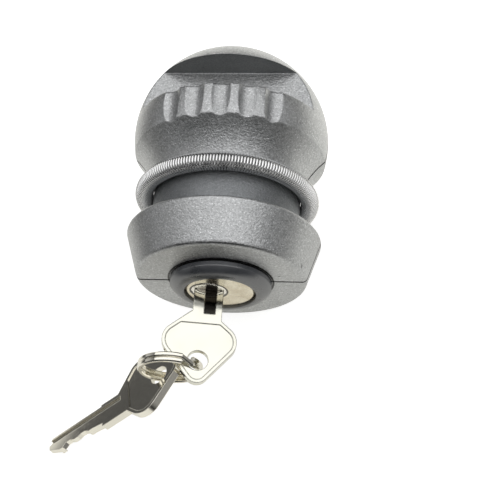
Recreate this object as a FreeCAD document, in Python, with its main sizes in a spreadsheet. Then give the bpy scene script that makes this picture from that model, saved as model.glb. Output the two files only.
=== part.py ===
import FreeCAD, Part
import enum
import math
import os
import Sketcher

# Ball-shaped lock for the coupling of an unhitched trailer, lying on its rear shell.
# Two like castings make a ball with a neck and a collar. A screw inside draws two wedges
# together, which part the castings until the ball jams in the coupling's socket. A lock
# barrel in the collar then closes the way to the screw.
# Frame: origin at the ball's centre, +Y along the lock's axis to the crown, +Z up through
# the front shell. Depths are measured from the ball's centre towards the lock, along -Y.

DRIVING_SIZES = {
    # ball, grip notch and fluted band
    "ball_diameter": 49.2,
    "seam_gap": 0.4,
    "notch_shelf": 2.8,
    "notch_ceiling": 13.5,
    "notch_wall": 11.9,
    "band_drop": 5.2,
    "flute_width": 4.6,
    "flute_depth": 0.9,
    "flute_angle": 15.3,
    "flute_count": 5,
    # neck and collar
    "underside_radius": 25.0,
    "neck_radius": 18.3,
    "neck_top": 13.7,
    "collar_top": 27.2,
    "collar_bottom": 38.4,
    "collar_rim_radius": 24.15,
    "collar_foot_radius": 20.7,
    "collar_rim_round": 0.7,
    "collar_foot_round": 1.2,
    # garter spring round the neck
    "spring_drop": 16.6,
    "spring_tube_radius": 2.3,
    "spring_clearance": 0.05,
    # wedges and the screw between them
    "spread": 3.0,
    "wedge_slope": 0.5,
    "wedge_length": 7.0,
    "wedge_width": 16.0,
    "wedge_thin_half": 5.2,
    "wedge_gap": 0.07,
    "wedge_side_gap": 0.4,
    "upper_wedge_foot": 5.5,
    "lower_wedge_drop": 6.5,
    "screw_radius": 3.0,
    "screw_length": 30.0,
    "screw_clearance": 0.3,
    "thread_clearance": 0.05,
    "screw_head_radius": 5.0,
    "screw_head_height": 4.4,
    "hex_across_flats": 4.0,
    "hex_depth": 2.3,
    "washer_radius": 6.0,
    "washer_thickness": 1.4,
    "washer_clearance": 0.2,
    "room_clearance": 0.6,
    # guide pins between the shells
    "pin_radius": 2.0,
    "pin_depth": 6.0,
    "pin_press": 0.02,
    "pin_slip": 0.1,
    "crown_pin_x": 14.0,
    "crown_pin_y": 7.0,
    "collar_pin_x": 17.6,
    "collar_pin_drop": 34.0,
    # lock sleeve with its bezel
    "sleeve_bore_radius": 8.75,
    "sleeve_wall": 1.8,
    "sleeve_top": 23.3,
    "sleeve_clearance": 0.3,
    "flange_radius": 13.0,
    "flange_drop": 33.5,
    "flange_thickness": 2.6,
    "flange_play": 0.15,
    "bezel_base_radius": 12.4,
    "bezel_tip_radius": 9.3,
    "bezel_reach": 3.5,
    "bezel_wall": 1.4,
    "bezel_crown_radius": 4.0,
    "bezel_seat_gap": 0.1,
    # barrel, plug and cam
    "barrel_clearance": 0.1,
    "barrel_top": 23.5,
    "barrel_recess": 0.5,
    "barrel_chamfer": 0.6,
    "plug_x": -2.7,
    "plug_z": 0.5,
    "plug_turn": 10.0,
    "plug_radius": 4.1,
    "plug_head_radius": 4.35,
    "plug_head_height": 1.2,
    "plug_proud": 0.1,
    "plug_clearance": 0.05,
    "plug_end_play": 0.4,
    "tail_side": 4.2,
    "tail_clearance": 0.05,
    "cam_thickness": 2.0,
    "cam_hub_radius": 3.6,
    "cam_lobe_reach": 5.5,
    "cam_lobe_radius": 2.4,
    "cam_room_radius": 12.3,
    "cam_room_height": 3.9,
    "cam_screw_radius": 1.25,
    "cam_screw_length": 2.8,
    "cam_screw_head_radius": 2.4,
    "cam_screw_head_height": 1.2,
    "cam_screw_slot": 0.8,
    "cam_screw_slot_depth": 0.6,
    "cam_screw_clearance": 0.05,
    # wafers
    "wafer_pitch": 2.4,
    "first_wafer": 3.8,
    "wafer_thickness": 0.8,
    "wafer_length": 7.2,
    "wafer_height": 3.6,
    "wafer_clearance": 0.05,
    "wafer_channel": 1.0,
    "wafer_spring_radius": 0.5,
    "wafer_spring_wire": 0.24,
    "wafer_spring_turns": 3,
    "wafer_spring_length": 2.2,
    # keys
    "key_thickness": 2.0,
    "key_clearance": 0.1,
    "blade_back": 3.0,
    "blade_front": 2.7,
    "blade_length": 17.2,
    "blade_tip_chamfer": 1.2,
    "shank_back": 3.5,
    "shank_front": 3.6,
    "shank_length": 5.7,
    "cut_flat": 1.2,
    "cut_depth_1": 0.5,
    "cut_depth_2": 1.3,
    "cut_depth_3": 0.9,
    "cut_depth_4": 1.6,
    "cut_depth_5": 0.7,
    "groove_depth": 0.6,
    "groove_start": -0.4,
    "wide_groove_left": -0.75,
    "wide_groove_width": 2.7,
    "edge_groove_left": -2.4,
    "edge_groove_width": 1.3,
    "bow_shift": 1.35,
    "bow_top_drop": 3.0,
    "bow_top_radius": 3.9,
    "bow_side_x": 4.65,
    "bow_side_drop": 7.45,
    "bow_side_radius": 4.3,
    "bow_foot_drop": 15.15,
    "bow_foot_radius": 2.9,
    "bow_rim": 0.85,
    "field_corner_x": 4.55,
    "field_corner_drop": 3.4,
    "field_corner_radius": 0.4,
    "bow_recess": 0.25,
    "key_hole_drop": 12.4,
    "key_hole_radius": 2.45,
    # split ring and the pose of the spare key on it
    "ring_radius": 7.2,
    "ring_wire": 1.2,
    "ring_chamfer": 0.3,
    "ring_turn_gap": 0.06,
    "ring_ramp_angle": 24.0,
    "ring_start_angle": 60.0,
    "ring_from_hole_x": -6.85,
    "ring_from_hole_y": -0.75,
    "ring_from_key_z": -2.6,
    "spare_on_ring_angle": 243.0,
    "spare_heading": 206.3,
    "spare_twist": 28.0,
    "spare_floor_gap": 0.02,
}

SHEET = "Sizes"
WAFER_COUNT = 5
ALONG_LOCK = FreeCAD.Vector(0, 1, 0)


class Sketched(enum.IntEnum):
    """The numbers by which a sketch knows its axes and the points of a piece of geometry."""
    VERTICAL_AXIS = -2
    HORIZONTAL_AXIS = -1
    ORIGIN = -1
    START = 1
    END = 2
    CENTRE = 3


doc = FreeCAD.newDocument("coupling_lock")
sheet = doc.addObject("Spreadsheet::Sheet", SHEET)
for row, (alias, number) in enumerate(DRIVING_SIZES.items(), start=1):
    sheet.set(f"A{row}", alias)
    sheet.set(f"B{row}", str(number))
    sheet.setAlias(f"B{row}", alias)
doc.recompute()


class Size:
    """A size worked out from the sheet: its value, and the expression that gives it."""

    def __init__(self, text, value):
        self.text = text
        self.value = value

    def __add__(self, other):
        other = as_size(other)
        return Size(f"({self.text} + {other.text})", self.value + other.value)

    def __sub__(self, other):
        other = as_size(other)
        return Size(f"({self.text} - {other.text})", self.value - other.value)

    def __mul__(self, other):
        other = as_size(other)
        return Size(f"({self.text} * {other.text})", self.value * other.value)

    def __truediv__(self, other):
        other = as_size(other)
        return Size(f"({self.text} / {other.text})", self.value / other.value)

    def __neg__(self):
        return Size(f"(-1 * {self.text})", -self.value)

    __radd__ = __add__
    __rmul__ = __mul__


def as_size(number):
    """A plain number as a size that never changes."""
    if isinstance(number, Size):
        return number
    return Size(f"({number})" if number < 0 else str(number), number)


def size(alias):
    """The driving size of that name."""
    return Size(f"{SHEET}.{alias}", float(sheet.get(alias)))


def root(square):
    return Size(f"sqrt({square.text})", math.sqrt(square.value))


def sine(angle):
    return Size(f"sin({angle.text})", math.sin(math.radians(angle.value)))


def cosine(angle):
    return Size(f"cos({angle.text})", math.cos(math.radians(angle.value)))


def bind(thing, path, wanted):
    """Tie a property to the sheet."""
    thing.setExpression(path, as_size(wanted).text)


# Sketches

def sketch_on(body, plane, name, offset=None):
    """A sketch on one of the body's own planes, moved along that plane's normal."""
    sketch = body.newObject("Sketcher::SketchObject", name)
    support = next(item for item in body.Origin.OriginFeatures if item.Role == plane)
    sketch.AttachmentSupport = [(support, "")]
    sketch.MapMode = "FlatFace"
    if offset is not None:
        bind(sketch, "AttachmentOffset.Base.z", offset)
    return sketch


def pin_point(sketch, geometry, point, x, y):
    """Fix a point of the sketch at sizes from the sketch's origin."""
    ways = [("DistanceX", Sketched.VERTICAL_AXIS, x), ("DistanceY", Sketched.HORIZONTAL_AXIS, y)]
    for kind, axis, wanted in ways:
        wanted = as_size(wanted)
        if wanted.text == "0":
            sketch.addConstraint(Sketcher.Constraint("PointOnObject", geometry, point, axis))
            continue
        index = sketch.addConstraint(Sketcher.Constraint(
            kind, Sketched.ORIGIN, Sketched.START, geometry, point, wanted.value))
        bind(sketch, f"Constraints[{index}]", wanted)


def set_radius(sketch, geometry, radius):
    index = sketch.addConstraint(Sketcher.Constraint("Radius", geometry, radius.value))
    bind(sketch, f"Constraints[{index}]", radius)


def draw_circle(sketch, x, y, radius):
    middle = FreeCAD.Vector(as_size(x).value, as_size(y).value, 0)
    geometry = sketch.addGeometry(Part.Circle(middle, FreeCAD.Vector(0, 0, 1), radius.value), False)
    pin_point(sketch, geometry, Sketched.CENTRE, x, y)
    set_radius(sketch, geometry, radius)


def arc_between(start, end, radius, centre_on_left):
    """The short arc between two points, anticlockwise when its centre is on the left of the way."""
    way = end - start
    left = FreeCAD.Vector(-way.y, way.x, 0).normalize()
    if way.Length / 2 > radius:
        raise ValueError("the arc's radius is too small for its chord")
    reach = math.sqrt(radius ** 2 - (way.Length / 2) ** 2)
    middle = (start + end) * 0.5 + left * (reach if centre_on_left else -reach)
    first, last = (start, end) if centre_on_left else (end, start)
    angles = [math.atan2(point.y - middle.y, point.x - middle.x) for point in (first, last)]
    circle = Part.Circle(middle, FreeCAD.Vector(0, 0, 1), radius)
    return Part.ArcOfCircle(circle, angles[0], angles[1])


def draw_outline(sketch, corners):
    """A closed outline. A corner is (x, y), or (x, y, radius, side) where an arc leads on to the next
    corner, with its centre on the "left" or the "right" of the way there."""
    points = [FreeCAD.Vector(as_size(corner[0]).value, as_size(corner[1]).value, 0) for corner in corners]
    pieces = []
    for here, corner in enumerate(corners):
        start, end = points[here], points[(here + 1) % len(points)]
        if len(corner) == 2:
            geometry = sketch.addGeometry(Part.LineSegment(start, end), False)
            pieces.append((geometry, Sketched.START, Sketched.END))
            continue
        on_left = corner[3] == "left"
        geometry = sketch.addGeometry(arc_between(start, end, corner[2].value, on_left), False)
        ends = (Sketched.START, Sketched.END) if on_left else (Sketched.END, Sketched.START)
        pieces.append((geometry, *ends))
    for here, (geometry, start, end) in enumerate(pieces):
        following, next_start, _ = pieces[(here + 1) % len(pieces)]
        sketch.addConstraint(Sketcher.Constraint("Coincident", geometry, end, following, next_start))
    for corner, (geometry, start, _) in zip(corners, pieces):
        pin_point(sketch, geometry, start, corner[0], corner[1])
        if len(corner) > 2:
            set_radius(sketch, geometry, corner[2])


def draw_box(sketch, left, low, right, high):
    draw_outline(sketch, [(left, low), (right, low), (right, high), (left, high)])


def draw_hull(sketch, circles):
    """The outline that a belt takes round circles, which are (x, y, radius) in anticlockwise order."""
    count = len(circles)
    middles = [FreeCAD.Vector(as_size(x).value, as_size(y).value, 0) for x, y, _ in circles]
    radii = [radius.value for _, _, radius in circles]
    normals = []
    for here in range(count):
        there = (here + 1) % count
        way = middles[there] - middles[here]
        lean = (radii[here] - radii[there]) / way.Length
        way.normalize()
        right = FreeCAD.Vector(way.y, -way.x, 0)
        normals.append(way * lean + right * math.sqrt(1 - lean ** 2))
    arcs = []
    for here in range(count):
        angles = [math.atan2(normal.y, normal.x) for normal in (normals[here - 1], normals[here])]
        circle = Part.Circle(middles[here], FreeCAD.Vector(0, 0, 1), radii[here])
        arcs.append(sketch.addGeometry(Part.ArcOfCircle(circle, angles[0], angles[1]), False))
    for here in range(count):
        there = (here + 1) % count
        start = middles[here] + normals[here] * radii[here]
        end = middles[there] + normals[here] * radii[there]
        line = sketch.addGeometry(Part.LineSegment(start, end), False)
        for first, second in ((arcs[here], line), (line, arcs[there])):
            sketch.addConstraint(Sketcher.Constraint("Tangent", first, Sketched.END, second, Sketched.START))
    for arc, (x, y, radius) in zip(arcs, circles):
        pin_point(sketch, arc, Sketched.CENTRE, x, y)
        set_radius(sketch, arc, radius)


# Features

def new_body(label):
    body = doc.addObject("PartDesign::Body", label)
    body.Label = label
    return body


def extrude(body, kind, sketch, length, symmetric=False, reverse=False):
    """A Pad or a Pocket of the sketch."""
    made = body.newObject(f"PartDesign::{kind}", f"{sketch.Name}_{kind.lower()}")
    made.Profile = sketch
    made.SideType = "Symmetric" if symmetric else "One side"
    made.Reversed = reverse
    bind(made, "Length", length)
    return finish_feature(body, made, kind == "Pocket")


def spin(body, kind, sketch, angle=360.0, reverse=False):
    """A Revolution or a Groove of the sketch about its vertical axis."""
    made = body.newObject(f"PartDesign::{kind}", f"{sketch.Name}_{kind.lower()}")
    made.Profile = sketch
    made.ReferenceAxis = (sketch, ["V_Axis"])
    made.Angle = angle
    made.Reversed = reverse
    return finish_feature(body, made, kind == "Groove")


def finish_feature(body, made, is_cut):
    """Recompute, and stop where a cut met no material."""
    body.Tip = made
    doc.recompute()
    if is_cut and made.Shape.Volume > made.BaseFeature.Shape.Volume - 1e-6:
        raise RuntimeError(f"{made.Name} cuts nothing")
    return made


def pattern(body, kind, feature, axis, span_name, span, count):
    """Copies of a feature along or about an axis of its sketch."""
    made = body.newObject(f"PartDesign::{kind}", f"{feature.Name}_row")
    made.Originals = [feature]
    setattr(made, "Axis" if kind == "PolarPattern" else "Direction", (feature.Profile[0], [axis]))
    bind(made, span_name, span)
    bind(made, "Occurrences", count)
    return finish_feature(body, made, feature.TypeId.endswith(("Pocket", "Groove")))


def round_edges(body, radius, wanted):
    """A fillet on the edges of the body that the test picks."""
    base = body.Tip
    names = [f"Edge{index}" for index, edge in enumerate(base.Shape.Edges, start=1) if wanted(edge)]
    made = body.newObject("PartDesign::Fillet", f"{body.Name}_rounds")
    made.Base = (base, names)
    bind(made, "Radius", radius)
    return finish_feature(body, made, False)


def is_circle_at(edge, y, radius):
    """Whether an edge lies on the circle of that radius about the lock's axis, at that height."""
    if edge.Degenerated or not isinstance(edge.Curve, Part.Circle):
        return False
    curve = edge.Curve
    return abs(curve.Center.y - y.value) < 1e-4 and abs(curve.Radius - radius.value) < 1e-4


# Sizes that several pieces share

ball_radius = size("ball_diameter") / 2
band_radius = root(ball_radius * ball_radius - size("band_drop") * size("band_drop"))
crown_radius = root(ball_radius * ball_radius - size("notch_shelf") * size("notch_shelf"))
half_flute = size("flute_width") / 2
flute_radius = (half_flute * half_flute / size("flute_depth") + size("flute_depth")) / 2
shell_spread = size("spread") / 2
wedge_travel = shell_spread / size("wedge_slope")
wedge_thick_half = size("wedge_thin_half") + size("wedge_slope") * size("wedge_length")
lower_wedge_bottom = size("lower_wedge_drop") + size("wedge_length")
upper_wedge_top = size("upper_wedge_foot") + size("wedge_length")
washer_bottom = lower_wedge_bottom + size("washer_thickness")
screw_head_bottom = washer_bottom + size("screw_head_height")
screw_tip = size("screw_length") - washer_bottom
cam_room_top = size("sleeve_top") - size("cam_room_height")
sleeve_radius = size("sleeve_bore_radius") + size("sleeve_wall")
bezel_tip = size("collar_bottom") + size("bezel_reach")
barrel_radius = size("sleeve_bore_radius") - size("barrel_clearance")
barrel_face = bezel_tip - size("barrel_recess")
plug_face = barrel_face + size("plug_proud")
plug_top = size("barrel_top") - size("plug_end_play")
cam_top = plug_top - size("cam_thickness")
plug_offset = root(size("plug_x") * size("plug_x") + size("plug_z") * size("plug_z"))
key_base_drop = plug_face + size("shank_length") + size("key_clearance")
half_key = size("key_thickness") / 2
spring_outer = size("wafer_spring_radius") + size("wafer_spring_wire") / 2


def wafer_depth(index):
    """How deep behind the plug's face a wafer's middle lies."""
    return size("first_wafer") + size("wafer_pitch") * index


def cut_front(index):
    """How far the blade's cut edge stands from the plug's axis at a wafer."""
    return size("blade_front") - size(f"cut_depth_{index + 1}")


# Castings

def shell_profile(body):
    """The half ball with its neck and collar."""
    sketch = sketch_on(body, "XY_Plane", "shell_profile")
    draw_outline(sketch, [
        (0, ball_radius, ball_radius, "right"),
        (band_radius, -size("band_drop"), size("underside_radius"), "left"),
        (size("neck_radius"), -size("neck_top")),
        (size("neck_radius"), -size("collar_top")),
        (size("collar_rim_radius"), -size("collar_top")),
        (size("collar_foot_radius"), -size("collar_bottom")),
        (0, -size("collar_bottom")),
    ])
    spin(body, "Revolution", sketch, 180.0, reverse=True)
    round_edges(body, size("collar_rim_round"),
                lambda edge: is_circle_at(edge, -size("collar_top"), size("collar_rim_radius")))
    round_edges(body, size("collar_foot_round"),
                lambda edge: is_circle_at(edge, -size("collar_bottom"), size("collar_foot_radius")))


def shell_seam(body):
    """Half of the gap between the castings."""
    sketch = sketch_on(body, "XY_Plane", "seam")
    reach = size("ball_diameter")
    draw_box(sketch, -reach, -reach, reach, reach)
    extrude(body, "Pocket", sketch, size("seam_gap") / 2, reverse=True)


def shell_cavity(body):
    """The turned room for the screw, the cam and the lock sleeve."""
    screw_room = size("screw_radius") + size("screw_clearance")
    head_room = size("washer_radius") + size("room_clearance")
    sleeve_room = sleeve_radius + size("sleeve_clearance")
    flange_room = size("flange_radius") + size("sleeve_clearance")
    flange_half = size("flange_thickness") / 2 + size("flange_play")
    sketch = sketch_on(body, "XY_Plane", "cavity")
    tip_room = screw_tip + wedge_travel + size("room_clearance")
    draw_outline(sketch, [
        (0, tip_room),
        (screw_room, tip_room),
        (screw_room, -size("lower_wedge_drop")),
        (head_room, -size("lower_wedge_drop")),
        (head_room, -cam_room_top),
        (size("cam_room_radius"), -cam_room_top),
        (size("cam_room_radius"), -size("sleeve_top")),
        (sleeve_room, -size("sleeve_top")),
        (sleeve_room, flange_half - size("flange_drop")),
        (flange_room, flange_half - size("flange_drop")),
        (flange_room, -size("flange_drop") - flange_half),
        (sleeve_room, -size("flange_drop") - flange_half),
        (sleeve_room, -size("collar_bottom") - size("bezel_seat_gap")),
        (0, -size("collar_bottom") - size("bezel_seat_gap")),
    ])
    spin(body, "Groove", sketch)


def wedge_half_at(distance):
    """Half the wedge's thickness, measured from its thin end."""
    return size("wedge_thin_half") + size("wedge_slope") * distance


def shell_wedge_pockets(body):
    """Ramps for the two wedges, long enough for their travel."""
    width = size("wedge_width") + size("wedge_side_gap") * 2
    before = wedge_travel + size("room_clearance")
    after = size("wedge_length") + size("room_clearance")
    thin = wedge_half_at(-before) + size("wedge_gap")
    thick = wedge_half_at(after) + size("wedge_gap")
    foot = size("upper_wedge_foot")
    upper = [(foot - before, -1), (foot + after, -1), (foot + after, thick), (foot - before, thin)]
    drop = -size("lower_wedge_drop")
    lower = [(drop - after, -1), (drop + before, -1), (drop + before, thin), (drop - after, thick)]
    for name, corners in (("upper_ramp", upper), ("lower_ramp", lower)):
        sketch = sketch_on(body, "YZ_Plane", name)
        draw_outline(sketch, corners)
        extrude(body, "Pocket", sketch, width, symmetric=True)


def shell_notch(body):
    """The grip notch right across the ball."""
    sketch = sketch_on(body, "YZ_Plane", "notch")
    draw_box(sketch, size("notch_shelf"), size("notch_wall"), size("notch_ceiling"), size("ball_diameter"))
    extrude(body, "Pocket", sketch, size("ball_diameter") * 1.2, symmetric=True)


def shell_flutes(body):
    """Hollow flutes down the band, which run out at its lower edge."""
    sketch = sketch_on(body, "XZ_Plane", "flute", -size("notch_shelf"))
    middle = crown_radius - size("flute_depth") + flute_radius
    first = size("flute_angle") * (size("flute_count") - 1) / 2
    draw_circle(sketch, middle * sine(first), middle * cosine(first), flute_radius)
    run = size("notch_shelf") + size("band_drop") + size("flute_depth") * 3
    flute = extrude(body, "Pocket", sketch, run, reverse=True)
    pattern(body, "PolarPattern", flute, "N_Axis", "Angle",
            size("flute_angle") * (size("flute_count") - 1), size("flute_count"))


PIN_PLACES = [
    (size("crown_pin_x"), size("crown_pin_y")),
    (-size("crown_pin_x"), size("crown_pin_y")),
    (size("collar_pin_x"), -size("collar_pin_drop")),
    (-size("collar_pin_x"), -size("collar_pin_drop")),
]


def shell_pin_holes(body, clearance):
    sketch = sketch_on(body, "XY_Plane", "pin_holes")
    for x, y in PIN_PLACES:
        draw_circle(sketch, x, y, size("pin_radius") + clearance)
    extrude(body, "Pocket", sketch, size("pin_depth") + size("room_clearance"), reverse=True)


def make_shell(label, pin_clearance, half_turn):
    """One casting. The other is the same one turned half round the lock's axis."""
    body = new_body(label)
    shell_profile(body)
    shell_seam(body)
    shell_notch(body)
    shell_flutes(body)
    shell_cavity(body)
    shell_wedge_pockets(body)
    shell_pin_holes(body, pin_clearance)
    body.Placement = FreeCAD.Placement(FreeCAD.Vector(), FreeCAD.Rotation(ALONG_LOCK, half_turn))
    return body


def make_guide_pins():
    """Dowels pressed into the rear shell, on which the front one slides."""
    pins = []
    for index, (x, y) in enumerate(PIN_PLACES, start=1):
        pin = doc.addObject("Part::Cylinder", f"guide_pin_{index}")
        bind(pin, "Radius", size("pin_radius"))
        bind(pin, "Height", size("pin_depth") * 2)
        bind(pin, "Placement.Base.x", x)
        bind(pin, "Placement.Base.y", y)
        bind(pin, "Placement.Base.z", -size("pin_depth"))
        pins.append(pin)
    group = doc.addObject("Part::Compound", "guide_pins")
    group.Links = pins
    return group


def make_garter_spring():
    """The closed spring round the neck, as the ring that its coils fill."""
    spring = doc.addObject("Part::Torus", "garter_spring")
    bind(spring, "Radius1", size("neck_radius") + size("spring_clearance") + size("spring_tube_radius"))
    bind(spring, "Radius2", size("spring_tube_radius"))
    spring.Placement = FreeCAD.Placement(FreeCAD.Vector(), FreeCAD.Rotation(FreeCAD.Vector(1, 0, 0), 90))
    bind(spring, "Placement.Base.y", -size("spring_drop"))
    return spring


# Clamp inside the ball

def make_wedge(label, thin_end, towards, hole_clearance):
    """A wedge with flat flanks and the screw's hole; its thin end faces the other wedge."""
    body = new_body(label)
    sketch = sketch_on(body, "YZ_Plane", f"{label}_flanks")
    thick_end = thin_end + size("wedge_length") * towards
    thin, thick = size("wedge_thin_half"), wedge_thick_half
    draw_outline(sketch, [(thin_end, -thin), (thick_end, -thick), (thick_end, thick), (thin_end, thin)])
    extrude(body, "Pad", sketch, size("wedge_width"), symmetric=True)
    hole = sketch_on(body, "XZ_Plane", f"{label}_hole", -thin_end)
    draw_circle(hole, 0, 0, size("screw_radius") + hole_clearance)
    extrude(body, "Pocket", hole, size("wedge_length"), reverse=towards < 0)
    return body


def make_thrust_washer():
    body = new_body("thrust_washer")
    sketch = sketch_on(body, "XZ_Plane", "washer_ring", washer_bottom)
    draw_circle(sketch, 0, 0, size("washer_radius"))
    draw_circle(sketch, 0, 0, size("screw_radius") + size("washer_clearance"))
    extrude(body, "Pad", sketch, size("washer_thickness"), reverse=True)
    return body


def make_clamp_screw():
    """Low socket-head screw, plain where its thread would be."""
    body = new_body("clamp_screw")
    head = size("screw_head_radius")
    edge = size("screw_radius") / 5
    profile = sketch_on(body, "XY_Plane", "screw_profile")
    draw_outline(profile, [
        (0, -screw_head_bottom),
        (head - edge, -screw_head_bottom),
        (head, edge - screw_head_bottom),
        (head, -washer_bottom),
        (size("screw_radius"), -washer_bottom),
        (size("screw_radius"), screw_tip - edge),
        (size("screw_radius") - edge, screw_tip),
        (0, screw_tip),
    ])
    spin(body, "Revolution", profile)
    corner = size("hex_across_flats") / math.sqrt(3)
    flat = size("hex_across_flats") / 2
    socket = sketch_on(body, "XZ_Plane", "hex_socket", screw_head_bottom)
    draw_outline(socket, [(corner, 0), (corner / 2, flat), (-corner / 2, flat),
                          (-corner, 0), (-corner / 2, -flat), (corner / 2, -flat)])
    extrude(body, "Pocket", socket, size("hex_depth"))
    return body


# Lock

def make_lock_sleeve():
    """The bezel and the sleeve behind it, held by its flange in the castings' groove."""
    body = new_body("lock_sleeve")
    half = size("flange_thickness") / 2
    seat = size("collar_bottom") + size("bezel_seat_gap")
    sketch = sketch_on(body, "XY_Plane", "sleeve_profile")
    draw_outline(sketch, [
        (size("sleeve_bore_radius"), -bezel_tip),
        (size("bezel_tip_radius"), -bezel_tip, size("bezel_crown_radius"), "left"),
        (size("bezel_base_radius"), -seat - size("bezel_wall")),
        (size("bezel_base_radius"), -seat),
        (sleeve_radius, -seat),
        (sleeve_radius, -size("flange_drop") - half),
        (size("flange_radius"), -size("flange_drop") - half),
        (size("flange_radius"), half - size("flange_drop")),
        (sleeve_radius, half - size("flange_drop")),
        (sleeve_radius, -size("sleeve_top")),
        (size("sleeve_bore_radius"), -size("sleeve_top")),
    ])
    spin(body, "Revolution", sketch)
    return body


def make_lock_barrel():
    """The lock body, with its bore off centre and a channel on each side for the wafers."""
    body = new_body("lock_barrel")
    edge = size("barrel_chamfer")
    profile = sketch_on(body, "XY_Plane", "barrel_profile")
    draw_outline(profile, [
        (0, -barrel_face),
        (barrel_radius - edge, -barrel_face),
        (barrel_radius, edge - barrel_face),
        (barrel_radius, -size("barrel_top")),
        (0, -size("barrel_top")),
    ])
    spin(body, "Revolution", profile)
    bore = sketch_on(body, "XZ_Plane", "plug_bore", barrel_face)
    draw_circle(bore, size("plug_x"), size("plug_z"), size("plug_radius") + size("plug_clearance"))
    extrude(body, "Pocket", bore, barrel_face - size("barrel_top"))
    seat = sketch_on(body, "XZ_Plane", "plug_seat", barrel_face)
    draw_circle(seat, size("plug_x"), size("plug_z"), size("plug_head_radius") + size("plug_clearance"))
    extrude(body, "Pocket", seat, size("plug_head_height"))
    channel = sketch_on(body, "XZ_Plane", "wafer_channel", size("barrel_top"))
    reach = size("plug_radius") + size("wafer_channel")
    half = size("wafer_height") / 2 + size("wafer_clearance")
    across, level = size("plug_x"), size("plug_z")
    draw_box(channel, across - reach, level - half, across + reach, level + half)
    depth = plug_face - size("first_wafer") + size("wafer_thickness") - size("barrel_top")
    extrude(body, "Pocket", channel, depth, reverse=True)
    return body


def at_plug(body):
    """Seat a body that is drawn about the plug's axis, a little turned as the key leaves it."""
    turn = FreeCAD.Rotation(ALONG_LOCK, size("plug_turn").value)
    body.Placement = FreeCAD.Placement(FreeCAD.Vector(), turn)
    bind(body, "Placement.Rotation.Angle", size("plug_turn"))
    bind(body, "Placement.Base.x", size("plug_x"))
    bind(body, "Placement.Base.z", size("plug_z"))
    return body


def key_section(clearance):
    """The blade's section, as the keyway sees it: a strip with a groove in each face."""
    back = -size("blade_back") - clearance
    front = size("blade_front") + clearance
    face = half_key + clearance
    floor = half_key - size("groove_depth") + clearance
    wide = size("wide_groove_left") + clearance
    wide_end = size("wide_groove_left") + size("wide_groove_width") - clearance
    thin = size("edge_groove_left") + clearance
    thin_end = size("edge_groove_left") + size("edge_groove_width") - clearance
    return [
        (back, -face), (thin, -face), (thin, -floor), (thin_end, -floor), (thin_end, -face), (front, -face),
        (front, face), (wide_end, face), (wide_end, floor), (wide, floor), (wide, face), (back, face),
    ]


def make_key_plug():
    """The turning plug: head, keyway, wafer slots and a square tail with the cam screw's hole."""
    body = new_body("key_plug")
    head_back = size("plug_head_height") + size("plug_proud")
    profile = sketch_on(body, "XY_Plane", "plug_profile")
    draw_outline(profile, [
        (0, -plug_face),
        (size("plug_head_radius"), -plug_face),
        (size("plug_head_radius"), head_back - plug_face),
        (size("plug_radius"), head_back - plug_face),
        (size("plug_radius"), -plug_top),
        (0, -plug_top),
    ])
    spin(body, "Revolution", profile)
    half = size("tail_side") / 2
    tail = sketch_on(body, "XZ_Plane", "tail", plug_top)
    draw_box(tail, -half, -half, half, half)
    extrude(body, "Pad", tail, size("cam_thickness"), reverse=True)
    keyway = sketch_on(body, "XZ_Plane", "keyway", plug_face)
    draw_outline(keyway, key_section(size("key_clearance")))
    extrude(body, "Pocket", keyway, size("blade_length") + size("key_clearance") * 2)
    last = wafer_depth(WAFER_COUNT - 1)
    slot = sketch_on(body, "XZ_Plane", "wafer_slot", plug_face - last)
    slot_half = size("wafer_height") / 2 + size("wafer_clearance")
    draw_box(slot, -size("plug_radius") * 1.2, -slot_half, size("plug_radius") * 1.2, slot_half)
    thickness = size("wafer_thickness") + size("wafer_clearance") * 2
    cut = extrude(body, "Pocket", slot, thickness, symmetric=True)
    row = size("wafer_pitch") * (WAFER_COUNT - 1)
    pattern(body, "LinearPattern", cut, "N_Axis", "Length", row, WAFER_COUNT)
    nest = sketch_on(body, "XZ_Plane", "spring_nest", plug_face - last)
    nest_low = size("wafer_height") / 2
    nest_half = size("wafer_spring_length") / 2 + size("wafer_clearance")
    nest_high = nest_low + spring_outer * 2 + size("wafer_clearance") * 2
    draw_box(nest, -nest_half, nest_low, nest_half, nest_high)
    room = spring_outer * 2 + size("wafer_clearance") * 2
    hollow = extrude(body, "Pocket", nest, room, symmetric=True)
    pattern(body, "LinearPattern", hollow, "N_Axis", "Length", row, WAFER_COUNT)
    hole = sketch_on(body, "XZ_Plane", "cam_screw_hole", cam_top)
    draw_circle(hole, 0, 0, size("cam_screw_radius") + size("cam_screw_clearance"))
    extrude(body, "Pocket", hole, size("cam_screw_length") + size("cam_screw_clearance") * 2, reverse=True)
    return at_plug(body)


def make_wafer(index):
    """A sliding plate whose window hangs on the blade's cut."""
    body = new_body(f"wafer_{index + 1}")
    sketch = sketch_on(body, "XZ_Plane", f"wafer_plate_{index + 1}", plug_face - wafer_depth(index))
    half = size("wafer_length") / 2
    high = size("wafer_height") / 2
    draw_box(sketch, -half, -high, half, high)
    window = half_key + size("key_clearance")
    gap = size("key_clearance")
    draw_box(sketch, -size("blade_back") - gap, -window, cut_front(index) + gap, window)
    extrude(body, "Pad", sketch, size("wafer_thickness"), symmetric=True)
    return at_plug(body)


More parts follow.
